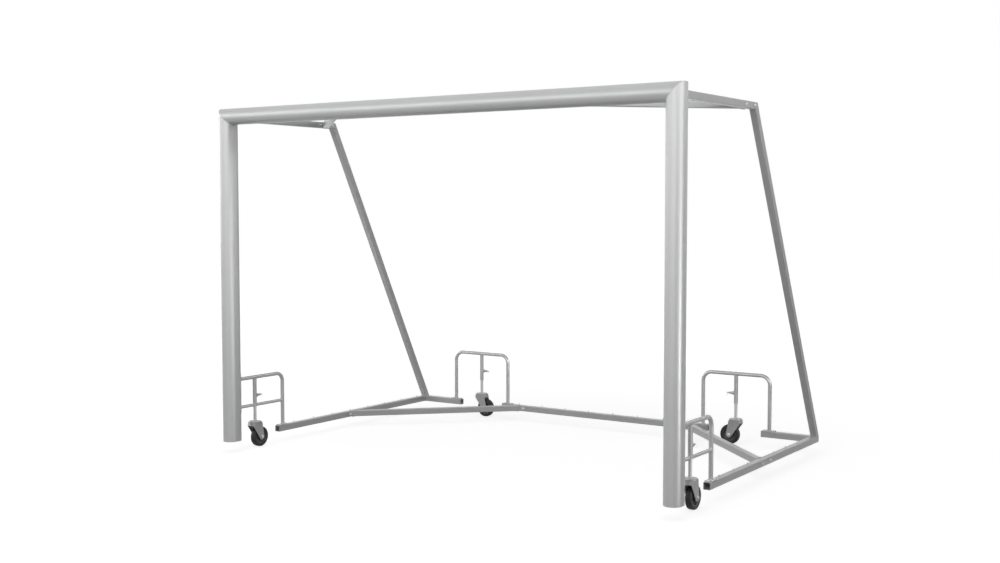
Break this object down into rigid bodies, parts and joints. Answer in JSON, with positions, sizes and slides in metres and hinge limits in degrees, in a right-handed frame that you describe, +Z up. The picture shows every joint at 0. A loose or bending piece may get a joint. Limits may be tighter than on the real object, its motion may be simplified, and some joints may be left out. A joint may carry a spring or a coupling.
{
  "type": "soccer goal",
  "caption": "Free-standing soccer goal: oval posts and crossbar, square-tube back and ground frame, and swivel castors on index stems that lift and lower.",
  "frame": {"origin": "on the floor under the middle of the goal's outline, with the castors lowered", "axes": "+X along the crossbar to the right post seen from the field, +Y from the mouth to the back, +Z up"},
  "size_m": [3.2, 2.119, 2.17],
  "materials": {
    "satin_extrusion": "satin anodised extrusion",
    "satin_tube": "satin mill finish",
    "bracket_tube": "satin",
    "zinc_tube": "zinc plated",
    "pressed_zinc": "zinc plated pressing",
    "plunger_zinc": "zinc plated turning",
    "bright_zinc": "bright zinc",
    "tyre_rubber": "moulded black rubber",
    "core_plastic": "moulded dark grey",
    "black_plug": "moulded black",
    "cast_insert": "as cast"
  },
  "bodies": {
    "frame": {"post_left": "satin_extrusion", "post_right": "satin_extrusion", "crossbar": "satin_extrusion", "corner_insert_left": "cast_insert", "corner_insert_right": "cast_insert", "foot_plug_left": "black_plug", "foot_plug_right": "black_plug", "upper_side_tube_left": "satin_tube", "upper_side_tube_right": "satin_tube", "upper_brace_left": "satin_tube", "upper_brace_right": "satin_tube", "stanchion_left": "satin_tube", "stanchion_right": "satin_tube", "ground_side_tube_left": "satin_tube", "ground_side_tube_right": "satin_tube", "rear_stub_left": "satin_tube", "rear_stub_right": "satin_tube", "rear_centre_bar": "satin_tube", "ground_brace_left": "satin_tube", "ground_brace_right": "satin_tube", "front_bracket_left": "bracket_tube", "front_bracket_right": "bracket_tube", "rear_hoop_left": "bracket_tube", "rear_hoop_right": "bracket_tube", "guide_sleeve_front_left": "zinc_tube", "plunger_housing_front_left": "plunger_zinc", "guide_sleeve_front_right": "zinc_tube", "plunger_housing_front_right": "plunger_zinc", "guide_sleeve_rear_left": "zinc_tube", "plunger_housing_rear_left": "plunger_zinc", "guide_sleeve_rear_right": "zinc_tube", "plunger_housing_rear_right": "plunger_zinc"},
    "stem_front_left": {"castor_stem_front_left": "zinc_tube"},
    "fork_front_left": {"castor_fork_front_left": "pressed_zinc", "axle_bolt_front_left": "bright_zinc"},
    "wheel_front_left": {"wheel_core_front_left": "core_plastic", "tyre_front_left": "tyre_rubber"},
    "pin_front_left": {"index_pin_front_left": "bright_zinc"},
    "ring_front_left": {"pull_ring_front_left": "bright_zinc"},
    "stem_front_right": {"castor_stem_front_right": "zinc_tube"},
    "fork_front_right": {"castor_fork_front_right": "pressed_zinc", "axle_bolt_front_right": "bright_zinc"},
    "wheel_front_right": {"wheel_core_front_right": "core_plastic", "tyre_front_right": "tyre_rubber"},
    "pin_front_right": {"index_pin_front_right": "bright_zinc"},
    "ring_front_right": {"pull_ring_front_right": "bright_zinc"},
    "stem_rear_left": {"castor_stem_rear_left": "zinc_tube"},
    "fork_rear_left": {"castor_fork_rear_left": "pressed_zinc", "axle_bolt_rear_left": "bright_zinc"},
    "wheel_rear_left": {"wheel_core_rear_left": "core_plastic", "tyre_rear_left": "tyre_rubber"},
    "pin_rear_left": {"index_pin_rear_left": "bright_zinc"},
    "ring_rear_left": {"pull_ring_rear_left": "bright_zinc"},
    "stem_rear_right": {"castor_stem_rear_right": "zinc_tube"},
    "fork_rear_right": {"castor_fork_rear_right": "pressed_zinc", "axle_bolt_rear_right": "bright_zinc"},
    "wheel_rear_right": {"wheel_core_rear_right": "core_plastic", "tyre_rear_right": "tyre_rubber"},
    "pin_rear_right": {"index_pin_rear_right": "bright_zinc"},
    "ring_rear_right": {"pull_ring_rear_right": "bright_zinc"}
  },
  "joints": [
    {"name": "height_front_left", "type": "slide", "parent": "frame", "child": "stem_front_left", "axis": [0, 0, 1], "range_m": [0, 0.08]},
    {"name": "swivel_front_left", "type": "hinge", "parent": "stem_front_left", "child": "fork_front_left", "pos_m": [-1.545, -0.8035, 0.16], "axis": [0, 0, 1], "continuous": true},
    {"name": "roll_front_left", "type": "hinge", "parent": "fork_front_left", "child": "wheel_front_left", "pos_m": [-1.545, -0.7655, 0.065], "axis": [-1, 0, 0], "continuous": true},
    {"name": "index_front_left", "type": "slide", "parent": "frame", "child": "pin_front_left", "axis": [0, 1, 0], "range_m": [0, 0.008], "stiffness_N_per_m": 1000, "springref_m": -0.003},
    {"name": "ring_swing_front_left", "type": "hinge", "parent": "pin_front_left", "child": "ring_front_left", "pos_m": [-1.545, -0.742, 0.338], "axis": [-1, 0, 0], "range_deg": [-100, 55]},
    {"name": "height_front_right", "type": "slide", "parent": "frame", "child": "stem_front_right", "axis": [0, 0, 1], "range_m": [0, 0.08]},
    {"name": "swivel_front_right", "type": "hinge", "parent": "stem_front_right", "child": "fork_front_right", "pos_m": [1.545, -0.8035, 0.16], "axis": [0, 0, 1], "continuous": true},
    {"name": "roll_front_right", "type": "hinge", "parent": "fork_front_right", "child": "wheel_front_right", "pos_m": [1.545, -0.7655, 0.065], "axis": [-1, 0, 0], "continuous": true},
    {"name": "index_front_right", "type": "slide", "parent": "frame", "child": "pin_front_right", "axis": [0, 1, 0], "range_m": [0, 0.008], "stiffness_N_per_m": 1000, "springref_m": -0.003},
    {"name": "ring_swing_front_right", "type": "hinge", "parent": "pin_front_right", "child": "ring_front_right", "pos_m": [1.545, -0.742, 0.338], "axis": [-1, 0, 0], "range_deg": [-100, 55]},
    {"name": "height_rear_left", "type": "slide", "parent": "frame", "child": "stem_rear_left", "axis": [0, 0, 1], "range_m": [0, 0.08]},
    {"name": "swivel_rear_left", "type": "hinge", "parent": "stem_rear_left", "child": "fork_rear_left", "pos_m": [-1.013, 1.0125, 0.16], "axis": [0, 0, 1], "continuous": true},
    {"name": "roll_rear_left", "type": "hinge", "parent": "fork_rear_left", "child": "wheel_rear_left", "pos_m": [-0.975, 1.0125, 0.065], "axis": [0, 1, 0], "continuous": true},
    {"name": "index_rear_left", "type": "slide", "parent": "frame", "child": "pin_rear_left", "axis": [1, 0, 0], "range_m": [0, 0.008], "stiffness_N_per_m": 1000, "springref_m": -0.003},
    {"name": "ring_swing_rear_left", "type": "hinge", "parent": "pin_rear_left", "child": "ring_rear_left", "pos_m": [-0.9515, 1.0125, 0.338], "axis": [0, 1, 0], "range_deg": [-100, 55]},
    {"name": "height_rear_right", "type": "slide", "parent": "frame", "child": "stem_rear_right", "axis": [0, 0, 1], "range_m": [0, 0.08]},
    {"name": "swivel_rear_right", "type": "hinge", "parent": "stem_rear_right", "child": "fork_rear_right", "pos_m": [1.013, 1.0125, 0.16], "axis": [0, 0, 1], "continuous": true},
    {"name": "roll_rear_right", "type": "hinge", "parent": "fork_rear_right", "child": "wheel_rear_right", "pos_m": [0.975, 1.0125, 0.065], "axis": [0, -1, 0], "continuous": true},
    {"name": "index_rear_right", "type": "slide", "parent": "frame", "child": "pin_rear_right", "axis": [-1, 0, 0], "range_m": [0, 0.008], "stiffness_N_per_m": 1000, "springref_m": -0.003},
    {"name": "ring_swing_rear_right", "type": "hinge", "parent": "pin_rear_right", "child": "ring_rear_right", "pos_m": [0.9515, 1.0125, 0.338], "axis": [0, -1, 0], "range_deg": [-100, 55]}
  ]
}
